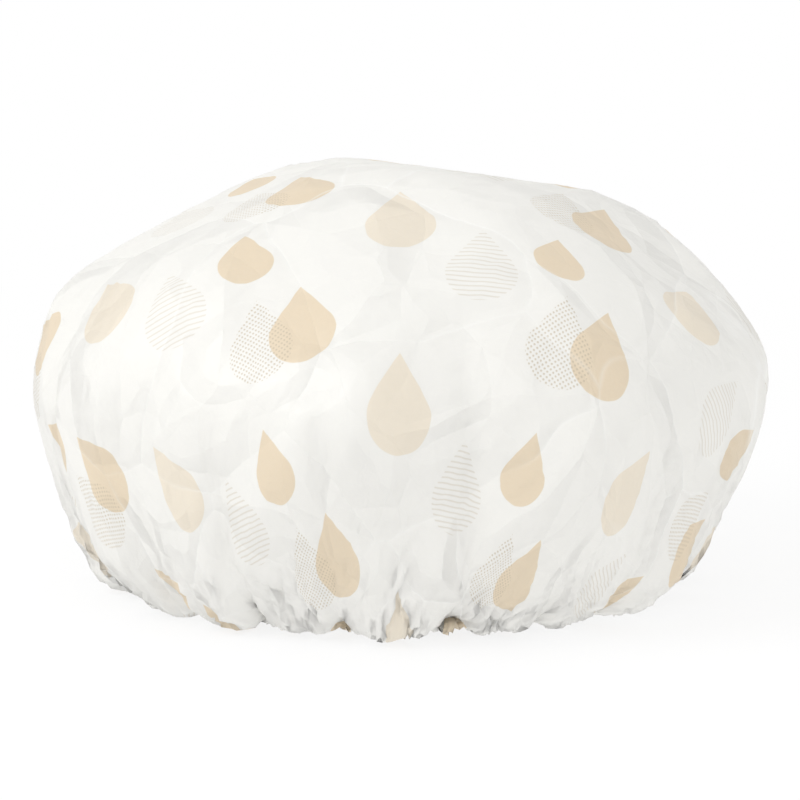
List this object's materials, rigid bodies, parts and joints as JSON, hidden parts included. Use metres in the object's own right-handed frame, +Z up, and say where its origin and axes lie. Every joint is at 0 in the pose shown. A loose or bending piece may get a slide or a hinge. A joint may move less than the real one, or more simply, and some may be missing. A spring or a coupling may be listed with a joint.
{
  "type": "shower cap",
  "caption": "Puffed waterproof cap of printed film, gathered by an elastic band sewn into its turned hem; stretches over the hair and keeps it dry.",
  "frame": {"origin": "on the surface that the cap stands on, under the middle of its outline", "axes": "+Z up through the crown, +X to the cap's right as seen in the picture, -Y towards the viewer"},
  "size_m": [0.2604, 0.2454, 0.154],
  "materials": {
    "film": "frosted waterproof film, satin, slightly see-through, with a beige drop print",
    "elastic": "flat knitted elastic, ribbed along its length",
    "thread": "spun sewing thread, matt"
  },
  "bodies": {
    "root": {"crown_film": "film", "elastic_band": "elastic", "elastic_tack_thread": "thread", "hem_needle_thread": "thread", "hem_bobbin_thread": "thread"}
  },
  "joints": []
}
